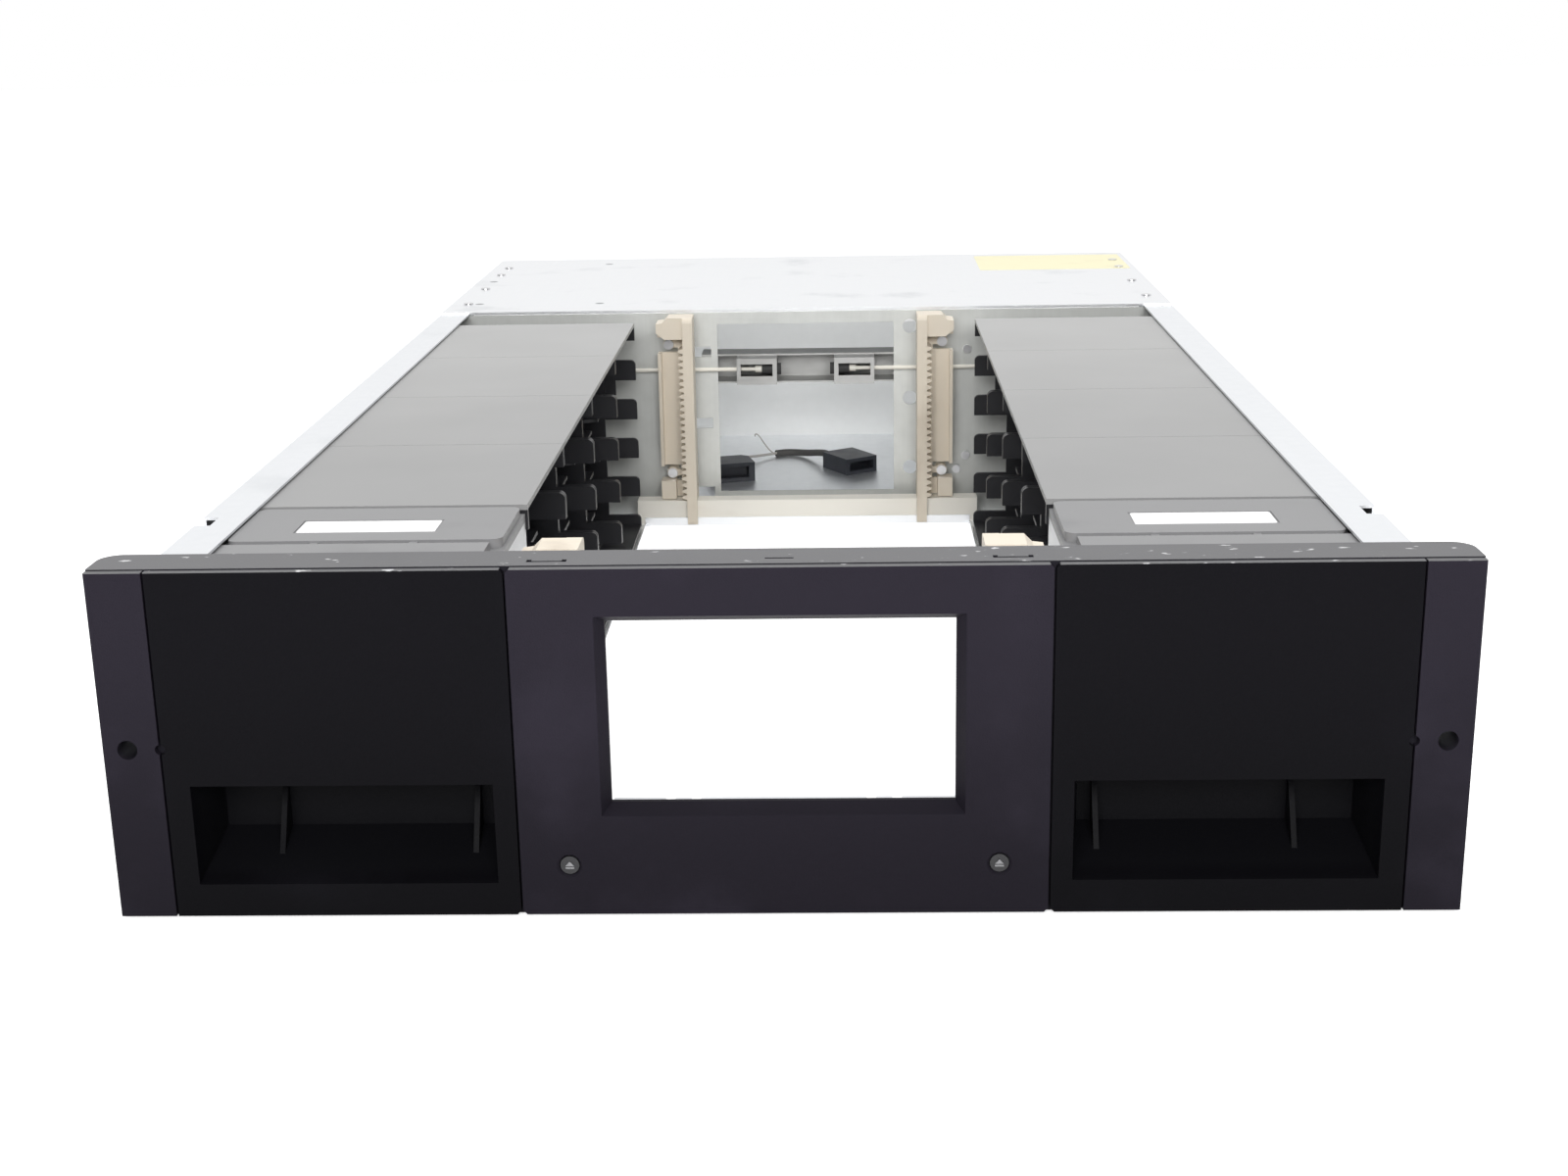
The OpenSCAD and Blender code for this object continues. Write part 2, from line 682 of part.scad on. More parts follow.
module solenoid(side) placed() sided(side) color("dimgray") {
    bar_x(-bracket_x - sheet_t - coil_l, rod_y, rod_z, coil_r, coil_l);
    block([-bracket_x - sheet_t - 6, rod_y + 2, rod_z - coil_r],
        [-bracket_x - sheet_t - 2, gate_back + bar_depth - sheet_t, rod_z + coil_r]);
    // rubber end stop on the bracket's inner side
    bar_x(-bracket_x, rod_y, rod_z, coil_r, stop_l);
}
module solenoid_left() solenoid(left);
module solenoid_right() solenoid(right);

plunger_end = bracket_x + sheet_t + coil_l + slide_gap;

module release_rod(side) placed() sided(side) color("ivory") {
    bar_x(-rod_rest, rod_y, rod_z, rod_r, rod_rest - plunger_end - 1);
    bar_x(-plunger_end - 4, rod_y, rod_z, rod_r + 0.9, 4);
}
module release_rod_left() release_rod(left);
module release_rod_right() release_rod(right);

// ---------------------------------------------------------------- guides and bay

module glides() placed() color("white") {
    for (x = [-1, 1], u = [shaft_x + 10, mag_out - 18]) {
        translate([x * u, 0, 0]) block([-4, chassis_y + 8, sheet_t], [4, mag_end - 4, sheet_t + glide_h]);
    }
}

guide_in = mag_out + slide_gap + 0.1;

module side_guides() placed() color("white") {
    for (side = [left, right]) sided(side) difference() {
        block([-wall_in, chassis_y + 30, wall_h / 2 - 6], [-guide_in, mag_end - 8, wall_h / 2 + 6]);
        block([-wall_in + 2, chassis_y + 29, wall_h / 2 - 4], [-guide_in - 2.2, mag_end, wall_h / 2 + 4]);
    }
}

// Two loose connectors on the bay floor, each placed by one corner and its turn
socket_at = [-36.5, bulkhead_y + 89];
socket_turn = 15;
socket_size = [28, 24, 13];
plug_at = [25, bulkhead_y + 101.5];
plug_turn = 33;
plug_size = [24, 30, 11];
// Route of the loose lead between them, with Y counted from the bulkhead
lead_path = [
    [-47.5, 110.9, 9.4], [-48.9, 116.2, 9.4], [-49.6, 122, 8.8], [-48.6, 128.5, 7.8],
    [-45.8, 135.5, 6.6], [-41.6, 142.6, 5.4], [-36.6, 149.6, 4.4], [-31, 156, 3.7],
    [-24.6, 161.4, 3.4], [-17.5, 164.4, 3.4], [-10.4, 163.4, 3.5], [-4.5, 158.8, 4.2],
    [0.2, 152.2, 5.6], [4, 145.4, 7.2], [7.3, 138.6, 8.6], [10.1, 133.6, 9.4], [12.8, 129.5, 9.4]];

module bay_connector() placed() color("darkslategray") {
    translate([socket_at[0], socket_at[1], sheet_t]) rotate([0, 0, socket_turn]) {
        difference() {
            translate([-socket_size[0], 0, 0]) cube(socket_size);
            translate([0, socket_size[1], -1]) rotate([0, 0, 45]) translate([-3, -3, 0]) cube([6, 6, 20]);
            block([-socket_size[0] + 3, -1, 3], [-4, 8, socket_size[2] - 2.5]);
        }
    }
}

module lead_plug() placed() color("darkslategray") {
    translate([plug_at[0], plug_at[1], sheet_t]) rotate([0, 0, plug_turn]) {
        difference() {
            cube(plug_size);
            block([2.5, -1, 2.5], [plug_size[0] - 2.5, 9, plug_size[2] - 2.5]);
        }
    }
}

// A tube swept along the route, with a ring of corners at each point
function heading(path, i) = path[min(i + 1, len(path) - 1)] - path[max(i - 1, 0)];
function ring(path, i, n) = let (d = heading(path, i) / norm(heading(path, i)),
    u = [-d[1], d[0], 0] / norm([d[0], d[1]]), w = cross(d, u))
    [for (k = [0 : n - 1]) path[i] + lead_d / 2 * (cos(360 * k / n) * u + sin(360 * k / n) * w)];

module lead() placed() translate([0, bulkhead_y, 0]) color("dimgray") {
    n = 10;
    m = len(lead_path);
    points = [for (i = [0 : m - 1], p = ring(lead_path, i, n)) p];
    sides = [for (i = [0 : m - 2], k = [0 : n - 1]) [i * n + k, i * n + (k + 1) % n,
        (i + 1) * n + (k + 1) % n, (i + 1) * n + k]];
    first = [for (k = [n - 1 : -1 : 0]) k];
    last = [for (k = [0 : n - 1]) (m - 1) * n + k];
    polyhedron(points, concat(sides, [first, last]));
}

// ---------------------------------------------------------------- magazines

function column_y(i) = nose_l + i * column_pitch;
column_l = column_pitch - column_gap;

// One finger's outline in X and Z, from its root at X = 0, with a round nose at the top
module finger(h, tip) {
    union() {
        square([finger_l - 3, h]);
        square([finger_l, h - (tip ? 3 : 0)]);
        if (tip) translate([finger_l - 3, h - 3]) circle(r = 3);
    }
}

fit_gap = 0.05;
shelf_out = mag_out - outer_wall_t - fit_gap;
scoop_r = 16;

// End plate of a column: a wall with a row of retaining fingers along its edge
module comb_plate(y) {
    translate([0, y + divider_t, 0]) rotate([90, 0, 0]) linear_extrude(divider_t) union() {
        translate([-shelf_out, column_z]) square([shelf_out - finger_root, column_h]);
        for (k = [0 : tiers]) {
            low = max(column_z, slot_z + k * tier_pitch - finger_down);
            high = min(roof_z, slot_z + k * tier_pitch + finger_up);
            translate([-finger_root - eps, low]) finger(high - low, k < tiers);
        }
    }
}

// One shelf, which all but the outermost two give a finger-wide scoop in its front edge
module shelf(y, k) {
    z = column_z + k * tier_pitch;
    difference() {
        block([-shelf_out, y + divider_t + fit_gap, z],
            [-finger_root, y + column_l - divider_t - fit_gap, z + shelf_t]);
        if (k > 0 && k < tiers) {
            translate([-finger_root, y + column_l / 2, z - 1]) cylinder(r = scoop_r, h = shelf_t + 2);
        }
    }
}

// A column is put together from an outer wall, two comb plates and a shelf under and over each slot
module mag_column(side, i) placed() sided(side) color("dimgray") {
    y = column_y(i);
    block([-mag_out, y, column_z], [-mag_out + outer_wall_t, y + column_l, roof_z]);
    comb_plate(y);
    comb_plate(y + column_l - divider_t);
    for (k = [0 : tiers]) shelf(y, k);
}
module magazine_left_column_1() mag_column(left, 0);
module magazine_left_column_2() mag_column(left, 1);
module magazine_left_column_3() mag_column(left, 2);
module magazine_left_column_4() mag_column(left, 3);
module magazine_right_column_1() mag_column(right, 0);
module magazine_right_column_2() mag_column(right, 1);
module magazine_right_column_3() mag_column(right, 2);
module magazine_right_column_4() mag_column(right, 3);

module mag_roof(side) placed() sided(side) color("darkgray") {
    for (i = [0 : columns - 1]) {
        block([-mag_out, column_y(i), roof_z], [-shaft_x, column_y(i) + column_l, mag_top]);
    }
}
module magazine_left_roof() mag_roof(left);
module magazine_right_roof() mag_roof(right);

module mag_tray(side) placed() sided(side) color("dimgray") {
    block([-mag_out, chassis_y + 9.5, tray_z], [-shaft_x, mag_end - column_gap, column_z]);
}
module magazine_left_tray() mag_tray(left);
module magazine_right_tray() mag_tray(right);

nose_in = shaft_x + 1;
nose_top = mag_top - 6.6;
nose_back = nose_l - 0.5;
cover_pad_y = 50;
pad_w = mag_out - nose_in - 4;
label_x = (mag_out + nose_in) / 2 + 1.2;
label_y = 63;
label_w = 54;
label_l = 18;
tab_pitch = 37;

module mag_nose(side) placed() sided(side) color("silver") {
    difference() {
        block([-mag_out, nose_y, column_z], [-nose_in, nose_back, nose_top]);
        block([-mag_out + 2, nose_y + 2, column_z - 1], [-nose_in - 2, nose_back - 2, nose_top - 2]);
    }
}
module magazine_left_nose() mag_nose(left);
module magazine_right_nose() mag_nose(right);

module mag_nose_cover(side) placed() sided(side) color("dimgray") {
    block([-mag_out, nose_y, nose_top], [-nose_in, nose_back, nose_top + 3]);
    difference() {
        translate([-mag_out + 3, cover_pad_y + 1, nose_top + 2])
            linear_extrude(mag_top - nose_top - 2) rounded(pad_w, nose_back - cover_pad_y - 4, 4);
        block([-label_x - label_w / 2, label_y, mag_top - 0.4],
            [-label_x + label_w / 2, label_y + label_l, mag_top + 1]);
        // the pad's side towards the shaft slopes down
        translate([-mag_out + 3 + pad_w, cover_pad_y - 4, mag_top]) rotate([0, 45, 0])
            translate([-2.6, 0, 0]) cube([8, nose_back - cover_pad_y + 6, 8]);
    }
    // front strip, with two tabs across the gap to the pad
    block([-mag_out + 1, nose_y, nose_top + 2], [-nose_in - 5, cover_pad_y - 2.5, mag_top - 0.2]);
    for (u = [-tab_pitch / 2, tab_pitch / 2]) translate([u - (mag_out + nose_in) / 2 + 1.2, 0, 0]) {
        block([-1.5, cover_pad_y - 3, nose_top + 2], [1.5, cover_pad_y + 2, mag_top - 0.6]);
    }
}
module magazine_left_nose_cover() mag_nose_cover(left);
module magazine_right_nose_cover() mag_nose_cover(right);

pocket_x = -(face_in + face_out) / 2 + 0.6;
pocket_w = face_out - face_in - 2 * pocket_rim;
pocket_z = 13;
shell_t = 2;

// Pull pocket that narrows to the back over a rising floor, grown by g all round
module pocket(g) {
    hull() {
        block([pocket_x - pocket_w / 2 - g, -eps, pocket_z - g],
            [pocket_x + pocket_w / 2 + g, 0, pocket_z + pocket_h + g]);
        block([pocket_x - pocket_w / 2 + 4 - g, pocket_depth + g, pocket_z + 12 - g],
            [pocket_x + pocket_w / 2 - 4 + g, pocket_depth + g + eps, pocket_z + pocket_h - 2 + g]);
    }
}

module mag_front(side) placed() sided(side) color("dimgray") {
    difference() {
        union() {
            block([-face_out, 0, face_z], [-face_in, face_t - slide_gap, face_z + face_h]);
            translate([0, eps, 0]) pocket(shell_t);
            // box that joins the face to the nose
            difference() {
                block([-mag_out, face_t - slide_gap - eps, column_z], [-nose_in, nose_y, nose_top + 3]);
                block([-mag_out + shell_t, face_t - slide_gap, column_z + shell_t],
                    [-nose_in - shell_t, nose_y - shell_t, nose_top + 1]);
            }
        }
        pocket(0);
        bar_y(-cover_in + seam / 2, -1, ear_hole_z, seam_hole_r, face_t + 2);
        for (z = [face_z, face_z + face_h]) corner_notch(-face_in, z);
    }
    // stiffening ribs from the pocket's floor to its back wall
    for (u = [pocket_w / 2 - 10, -pocket_w / 4]) {
        translate([pocket_x + u - 1, 0, 0]) rotate([90, 0, 90]) linear_extrude(2)
            polygon([[pocket_depth - 14, pocket_z + 5], [pocket_depth + 1, pocket_z + 12],
                [pocket_depth + 1, pocket_z + pocket_h - 4]]);
    }
}
module magazine_left_front() mag_front(left);
module magazine_right_front() mag_front(right);

lug_t = 6;
fork_w = 5;
prong_t = 1.8;

// Arm on the magazine's rear end, forked for the release rod
module mag_lug(side) placed() sided(side) color("dimgray") {
    block([-lug_x - 12, mag_end - column_gap, rod_z - 10], [-lug_x + 4, mag_end + 1.6, rod_z + 10]);
    difference() {
        block([-lug_x - lug_t, mag_end + 1, rod_z - 6],
            [-lug_x, rod_y + fork_w / 2 + prong_t, rod_z + 4.5]);
        block([-lug_x - lug_t - 1, rod_y - fork_w / 2, rod_z - fork_w / 2],
            [-lug_x + 1, rod_y + fork_w / 2, rod_z + 6]);
    }
}
module magazine_left_lug() mag_lug(left);
module magazine_right_lug() mag_lug(right);

base_pan();
side_wall_left();
side_wall_right();
rear_cover();
rear_panel();
drive_blank_lower();
drive_blank_middle();
drive_blank_upper();
supply_blank_lower();
supply_blank_upper();
bulkhead();
mounting_sheet();
front_frame();
centre_panel();
ear_cover_left();
ear_cover_right();
rack_rear_left();
rack_rear_right();
rack_front_left();
rack_front_right();
tie_rail();
lock_bar();
bracket_left();
bracket_right();
solenoid_left();
solenoid_right();
glides();
side_guides();
switch_boards();
rack_screws();
bulkhead_screws();
cover_screws();
blank_screws();
bay_connector();
lead();
lead_plug();
magazine_left_tray();
magazine_left_column_1();
magazine_left_column_2();
magazine_left_column_3();
magazine_left_column_4();
magazine_left_roof();
magazine_left_nose();
magazine_left_nose_cover();
magazine_left_front();
magazine_left_lug();
magazine_right_tray();
magazine_right_column_1();
magazine_right_column_2();
magazine_right_column_3();
magazine_right_column_4();
magazine_right_roof();
magazine_right_nose();
magazine_right_nose_cover();
magazine_right_front();
magazine_right_lug();
eject_button_left();
eject_button_right();
release_rod_left();
release_rod_right();
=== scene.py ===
"""Looks of a rack-mounted data tape library: two sliding magazines, lift racks and a rear bay."""

import bmesh
import bpy
import math
from mathutils import Matrix, Vector


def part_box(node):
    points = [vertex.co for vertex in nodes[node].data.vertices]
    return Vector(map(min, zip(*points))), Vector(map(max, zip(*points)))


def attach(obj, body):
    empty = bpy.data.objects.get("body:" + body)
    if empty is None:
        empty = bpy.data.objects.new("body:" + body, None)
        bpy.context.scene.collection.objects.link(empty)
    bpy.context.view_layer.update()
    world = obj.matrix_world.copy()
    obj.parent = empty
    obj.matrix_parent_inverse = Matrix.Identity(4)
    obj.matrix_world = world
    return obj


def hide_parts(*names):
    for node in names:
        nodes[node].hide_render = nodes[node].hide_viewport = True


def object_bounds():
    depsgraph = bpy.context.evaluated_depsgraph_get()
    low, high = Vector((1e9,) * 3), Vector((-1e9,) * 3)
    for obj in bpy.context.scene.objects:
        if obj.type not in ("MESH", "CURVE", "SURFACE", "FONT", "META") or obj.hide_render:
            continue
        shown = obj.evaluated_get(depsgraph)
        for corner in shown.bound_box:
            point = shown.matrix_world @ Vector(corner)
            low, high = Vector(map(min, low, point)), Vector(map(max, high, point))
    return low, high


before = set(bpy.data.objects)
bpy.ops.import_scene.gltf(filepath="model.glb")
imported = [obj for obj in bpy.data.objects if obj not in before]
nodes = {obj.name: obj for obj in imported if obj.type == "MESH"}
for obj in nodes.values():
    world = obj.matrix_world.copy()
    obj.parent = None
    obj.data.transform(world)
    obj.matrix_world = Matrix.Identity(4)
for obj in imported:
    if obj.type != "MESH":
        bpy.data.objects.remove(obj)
cad_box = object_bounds()

# ---------------------------------------------------------------- camera
# A long lens looks down on the library from in front, a little to the right of its middle,
# and is turned slightly, so that the front leans by one degree.

front_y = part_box("centre_panel")[0][1]
lens_mm = 47.71
camera_at = Vector((0.02266, front_y - 0.6854, 0.3246))
pitch, yaw, roll = (math.radians(a) for a in (16.398, -1.743, -1.034))

camera = bpy.data.objects.new("camera", bpy.data.cameras.new("camera"))
camera.data.lens = lens_mm
camera.data.sensor_width = 36
camera.data.clip_start = 0.02
camera.matrix_world = (
    Matrix.Translation(camera_at)
    @ Matrix.Rotation(-yaw, 4, "Z")
    @ Matrix.Rotation(math.pi / 2 - pitch, 4, "X")
    @ Matrix.Rotation(roll, 4, "Z")
)
bpy.context.scene.collection.objects.link(camera)
bpy.context.scene.camera = camera

# ---------------------------------------------------------------- loose lead
# A short lead between two black connectors lies on the floor of the rear bay: thin wires that
# run in a woven sleeve for half their length, with one wire that has sprung out and stands up.

bay_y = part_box("bulkhead")[0][1]
wire_d = 0.0016
sleeve_d = 0.0046
lead_route = [
    (-0.0475, 0.1109, 0.0094), (-0.0489, 0.1162, 0.0094), (-0.0496, 0.1220, 0.0088),
    (-0.0486, 0.1285, 0.0078), (-0.0458, 0.1355, 0.0066), (-0.0416, 0.1426, 0.0054),
    (-0.0366, 0.1496, 0.0044), (-0.0310, 0.1560, 0.0037), (-0.0246, 0.1614, 0.0034),
    (-0.0175, 0.1644, 0.0034), (-0.0104, 0.1634, 0.0035), (-0.0045, 0.1588, 0.0042),
    (0.0002, 0.1522, 0.0056), (0.0040, 0.1454, 0.0072), (0.0073, 0.1386, 0.0086),
    (0.0101, 0.1336, 0.0094), (0.0128, 0.1295, 0.0094),
]
sprung_route = [
    (-0.0246, 0.1614, 0.0034), (-0.0268, 0.1632, 0.0036), (-0.0292, 0.1646, 0.0052),
    (-0.0318, 0.1652, 0.0084), (-0.0344, 0.1656, 0.0122), (-0.0366, 0.1660, 0.0152),
    (-0.0384, 0.1664, 0.0164), (-0.0394, 0.1668, 0.0156), (-0.0392, 0.1670, 0.0146),
]


def bay_points(route, side=0.0, lift=0.0):
    return [Vector((x + side, bay_y + y, z + lift)) for x, y, z in route]


def run_length(points):
    return sum((b - a).length for a, b in zip(points, points[1:]))


def tube(name, points, diameter):
    curve = bpy.data.curves.new(name, "CURVE")
    curve.dimensions = "3D"
    curve.bevel_depth = diameter / 2
    curve.bevel_resolution = 3
    curve.use_fill_caps = True
    spline = curve.splines.new("POLY")
    spline.points.add(len(points) - 1)
    for place, point in zip(spline.points, points):
        place.co = (*point, 1)
    line = bpy.data.objects.new(name + "_line", curve)
    thing = bpy.data.objects.new(name, bpy.data.meshes.new_from_object(line))
    bpy.data.objects.remove(line)
    bpy.context.scene.collection.objects.link(thing)
    return thing


def rounded(points, parts=4):
    """More points on the same line, as a smooth curve through the given ones."""
    out = []
    for i in range(len(points) - 1):
        before, a, b, after = (points[max(0, min(len(points) - 1, i + k))] for k in (-1, 0, 1, 2))
        for k in range(parts):
            t = k / parts
            out.append(
                0.5 * (2 * a + (b - before) * t + (2 * before - 5 * a + 4 * b - after) * t ** 2
                       + (3 * a - before - 3 * b + after) * t ** 3)
            )
    return [*out, points[-1]]


lead_line = rounded(bay_points(lead_route))
lead = tube("lead_wire", lead_line, wire_d)
sleeve = tube("lead_sleeve", rounded(bay_points(lead_route[8:])), sleeve_d)
second_wire = tube("lead_wire_second", rounded(bay_points(lead_route[:10], 0.0016, 0.0004)), wire_d)
sprung_wire = tube("lead_wire_sprung", rounded(bay_points(sprung_route)), 0.0009)
for wire in (lead, sleeve, second_wire, sprung_wire):
    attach(wire, "root")
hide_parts("lead")
run_length(lead_line)


class Wire:
    """A socket in a finish. Arithmetic on it adds Math nodes."""

    def __init__(self, finish, socket):
        self.finish = finish
        self.socket = socket

    def math(self, operation, *values):
        return self.finish.node("Math", {"operation": operation}, dict(enumerate([self, *values])))

    def __add__(self, other):
        return self.math("ADD", other)

    def __sub__(self, other):
        return self.math("SUBTRACT", other)

    def __rsub__(self, other):
        return (self * -1) + other

    def __mul__(self, other):
        return self.math("MULTIPLY", other)

    def step(self, low, high):
        """0 below low, 1 above high and smooth between them."""
        return self.finish.node("MapRange", {"interpolation_type": "SMOOTHSTEP"}, {0: self, 1: low, 2: high})

    __radd__ = __add__
    __rmul__ = __mul__


class Finish:
    """A material for one surface. Patterns lie on the object's own coordinates, in metres."""

    def __init__(self, name, colour, roughness, metallic=0.0, **fixed):
        self.material = bpy.data.materials.new(name)
        self.material.use_nodes = True
        self.tree = self.material.node_tree
        self.shader = self.tree.nodes["Principled BSDF"]
        self.colour = (*colour, 1)
        self.set("Base Color", self.colour)
        self.set("Roughness", roughness)
        self.set("Metallic", metallic)
        for socket, value in fixed.items():
            self.set(socket.replace("_", " "), value)
        self.place = self.node("TexCoord", out="Object")

    def set(self, socket, value):
        if isinstance(value, Wire):
            self.tree.links.new(value.socket, self.shader.inputs[socket])
        else:
            self.shader.inputs[socket].default_value = value

    def node(self, kind, settings=None, values=None, out=0):
        made = self.tree.nodes.new("ShaderNode" + kind)
        for name, value in (settings or {}).items():
            setattr(made, name, value)
        for name, value in (values or {}).items():
            if isinstance(value, Wire):
                self.tree.links.new(value.socket, made.inputs[name])
            else:
                made.inputs[name].default_value = value
        return Wire(self, made.outputs[out])

    def noise(self, size, detail=2, stretch=(1, 1, 1)):
        """Cloudy pattern whose blobs are size metres across, times stretch."""
        place = self.node("Mapping", {}, {"Vector": self.place, "Scale": [1 / (size * s) for s in stretch]})
        return self.node("TexNoise", {}, {"Vector": place, "Scale": 1, "Detail": detail})

    def along(self, axis):
        return self.node("SeparateXYZ", {}, {0: self.place}, out=axis)

    def blend(self, share, first, second):
        """A colour between two, by a share from 0 to 1."""
        colours = {6: first if isinstance(first, Wire) else (*first, 1), 7: (*second, 1)}
        return self.node("Mix", {"data_type": "RGBA"}, {0: share, **colours}, out=2)

    def relief(self, height, depth):
        self.set("Normal", self.node("Bump", {}, {"Height": height, "Distance": depth, "Strength": 1}))

    def dress(self, *names):
        for name in names:
            slots = nodes[name].data.materials if isinstance(name, str) else name.data.materials
            slots.clear()
            slots.append(self.material)


sleeve_weave = Finish("woven_sleeve", (0.05, 0.048, 0.045), 0.7)
sleeve_weave.relief(sleeve_weave.noise(0.0009, 1), 0.0003)
sleeve_weave.dress(sleeve)
wire_skin = Finish("wire_insulation", (0.32, 0.31, 0.29), 0.45)
wire_skin.set("Base Color", wire_skin.blend(wire_skin.noise(0.01), (0.30, 0.29, 0.27), (0.42, 0.40, 0.37)))
wire_skin.dress(lead, second_wire, sprung_wire)

connector_nylon = Finish("connector_nylon", (0.018, 0.020, 0.026), 0.42)
connector_nylon.relief(connector_nylon.noise(0.0006, 2), 0.00006)
connector_nylon.set("Roughness", connector_nylon.noise(0.012) * 0.2 + 0.34)
connector_nylon.dress("bay_connector", "lead_plug")

# ---------------------------------------------------------------- steel chassis
# Zinc-coated sheet, folded and riveted: a floor with a big opening, two side walls with
# flanges, the cover of the rear bay and the sheet that holds the front. Faint spangle, rubbed
# lines along the length and a few grey smudges from handling.


def zinc_sheet(name, colour, dark, roughness, rub=(0.4, 14, 0.4)):
    """Galvanised steel with spangle, smudges and rub marks that run along rub's long axis."""
    sheet = Finish(name, colour, roughness, 1.0)
    spangle = sheet.node("TexVoronoi", {}, {"Vector": sheet.place, "Scale": 160}, out="Distance")
    smudge = sheet.noise(0.09, 4).step(0.56, 0.74)
    rubs = sheet.noise(0.004, 3, rub)
    base = sheet.blend(smudge * 0.5 + spangle * 0.12, colour, dark)
    sheet.set("Base Color", base)
    sheet.set("Roughness", rubs * 0.16 + spangle * 0.08 + (roughness - 0.1))
    sheet.relief(rubs * 0.4 + spangle * 0.6, 0.00003)
    return sheet


chassis_zinc = zinc_sheet("chassis_zinc", (0.84, 0.855, 0.875), (0.66, 0.68, 0.70), 0.38)
chassis_zinc.dress("base_pan", "side_wall_left", "side_wall_right", "mounting_sheet")
cover_zinc = zinc_sheet("cover_zinc", (0.86, 0.87, 0.885), (0.62, 0.64, 0.66), 0.36)
cover_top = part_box("rear_cover")[1][2]
# Painted shade: four round spots, 3.5 mm in radius, are painted dark grey on the top of the cover as the shade in
# its pressed dimples.
dimple_r = 0.0035
dimple_shade = 0
for x, y in ((-0.212, 0.713), (-0.1425, 0.795), (-0.129, 0.610), (-0.205, 0.613)):
    middle = (x, front_y + y, cover_top)
    away = cover_zinc.node("VectorMath", {"operation": "DISTANCE"}, {0: cover_zinc.place, 1: middle}, out=1)
    dimple_shade = (1 - away.step(dimple_r * 0.5, dimple_r)) + dimple_shade
cover_smudge = cover_zinc.noise(0.05, 4).step(0.58, 0.8)
cover_base = cover_zinc.blend(cover_smudge * 0.6, (0.86, 0.87, 0.885), (0.60, 0.62, 0.64))
cover_zinc.set("Base Color", cover_zinc.blend(dimple_shade, cover_base, (0.30, 0.31, 0.32)))
cover_zinc.dress("rear_cover")
bay_zinc = zinc_sheet("bay_zinc", (0.84, 0.85, 0.84), (0.68, 0.69, 0.68), 0.46)
bay_zinc.set("Metallic", 0.35)
bay_zinc.dress(
    "rear_panel", "drive_blank_lower", "drive_blank_middle", "drive_blank_upper",
    "supply_blank_lower", "supply_blank_upper",
)
bulkhead_zinc = zinc_sheet("bulkhead_zinc", (0.60, 0.61, 0.59), (0.50, 0.51, 0.50), 0.55, (0.4, 0.4, 10))
bulkhead_zinc.dress("bulkhead")
nose_zinc = zinc_sheet("nose_zinc", (0.80, 0.81, 0.82), (0.6, 0.6, 0.61), 0.4)
nose_zinc.dress("magazine_left_nose", "magazine_right_nose")
lock_zinc = zinc_sheet("lock_zinc", (0.50, 0.50, 0.49), (0.36, 0.36, 0.35), 0.58, (10, 0.4, 0.4))
lock_zinc.dress("lock_bar", "bracket_left", "bracket_right")

# ---------------------------------------------------------------- front panel
# Black moulded plastic with a fine grain: the frame, the centre panel, two ear covers and the
# fronts of the magazines, with pale dust in patches. Their tops carry a painted highlight in pale grey, their lower
# parts painted shade.

panel_low, panel_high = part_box("front_frame")
plate_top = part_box("centre_panel")[1][2]
plate_back = front_y + 0.003
top_highlight_grey = (0.165, 0.165, 0.17)
chip_white = (0.62, 0.62, 0.63)
pocket_shade_black = (0.004, 0.004, 0.005)


def panel_plastic(name, colour, top, pocket=False):
    """Black face plastic with pale dust in patches, a painted highlight in pale grey along its top with a few white
    chips, painted shade lower down and, for a pocket, painted shade inside it.
    """
    plastic = Finish(name, colour, 0.5, Specular_IOR_Level=0.05)
    grain = plastic.noise(0.0007, 2)
    dust = plastic.noise(0.05, 5).step(0.5, 0.8)
    lighter = tuple(c * 1.35 for c in colour)
    # Painted highlight: the top 0.3 mm of each part is painted pale grey where its top catches the light; the white
    # chips lie only along it.
    edge = plastic.along(2).step(top - 0.0003, top - 0.0001)
    chips = edge * plastic.noise(0.004, 4, (2, 1, 1)).step(0.66, 0.72)
    # Painted shade: the plastic is painted darker towards the bottom, down to 0.6 of its colour.
    raised = plastic.along(2).step(panel_high[2] * 0.1, panel_high[2] * 0.9)
    base = plastic.blend(raised, tuple(c * 0.6 for c in colour), colour)
    base = plastic.blend(dust * 0.6, base, lighter)
    base = plastic.blend(edge, base, top_highlight_grey)
    base = plastic.blend(chips, base, chip_white)
    if pocket:
        # Painted shade: everything behind the face of a magazine front, in its pocket, is painted near black.
        pocket_shade = plastic.along(1).step(plate_back - 0.001, plate_back + 0.006)
        base = plastic.blend(pocket_shade, base, pocket_shade_black)
    plastic.set("Base Color", base)
    plastic.set("Roughness", dust * 0.14 + grain * 0.1 + 0.42)
    plastic.relief(grain, 0.00005)
    return plastic


frame_black = panel_plastic("frame_black", (0.016, 0.015, 0.020), panel_high[2])
frame_black.dress("front_frame")
centre_black = panel_plastic("centre_black", (0.019, 0.0165, 0.024), plate_top)
centre_black.dress("centre_panel", "ear_cover_left", "ear_cover_right")
pull_black = panel_plastic("pull_black", (0.0042, 0.0040, 0.0055), plate_top, True)
pull_black.dress("magazine_left_front", "magazine_right_front")

button_black = Finish("button_black", (0.012, 0.012, 0.014), 0.3)
symbol = 1 - button_black.along(1).step(front_y + 0.0004, front_y + 0.0006)
button_black.set("Base Color", button_black.blend(symbol, (0.012, 0.012, 0.014), (0.22, 0.22, 0.23)))
button_black.relief(button_black.noise(0.0006), 0.00003)
button_black.dress("eject_button_left", "eject_button_right")

# ---------------------------------------------------------------- magazines
# Each magazine is a row of glass-filled plastic columns on a tray, under smooth roof panels
# that mirror the bright room at a low angle. The nose behind the front is a steel box with a
# plastic lid and a blank white label.

